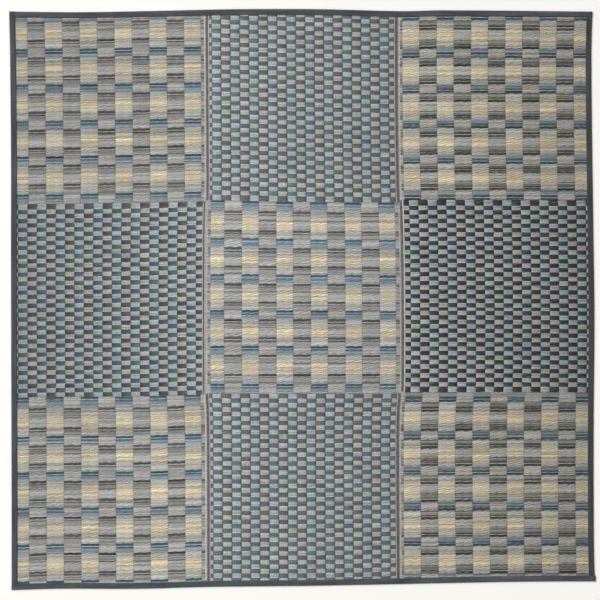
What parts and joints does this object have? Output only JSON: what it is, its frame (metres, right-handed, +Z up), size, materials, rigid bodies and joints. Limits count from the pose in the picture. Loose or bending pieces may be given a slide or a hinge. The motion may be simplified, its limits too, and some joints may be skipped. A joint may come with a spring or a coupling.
{
  "type": "bound rush rug",
  "caption": "Flat square rush rug of woven strips sewn side by side, in a block check of large and small cells, with a dark folded tape around its edge.",
  "frame": {"origin": "middle of the rug's own box, on the floor", "axes": "+Z up out of the rug's face, +Y along the strips to the top edge, +X across the strips to the right"},
  "size_m": [2.611, 2.5784, 0.0056],
  "materials": {
    "rush_cloth": "woven rush, dyed blue, brown and straw, with a soft natural sheen",
    "edge_tape": "matt dark slate twill tape"
  },
  "bodies": {
    "root": {"strip_left": "rush_cloth", "strip_middle": "rush_cloth", "strip_right": "rush_cloth", "binding_left": "edge_tape", "binding_right": "edge_tape", "binding_top": "edge_tape", "binding_bottom": "edge_tape"}
  },
  "joints": []
}
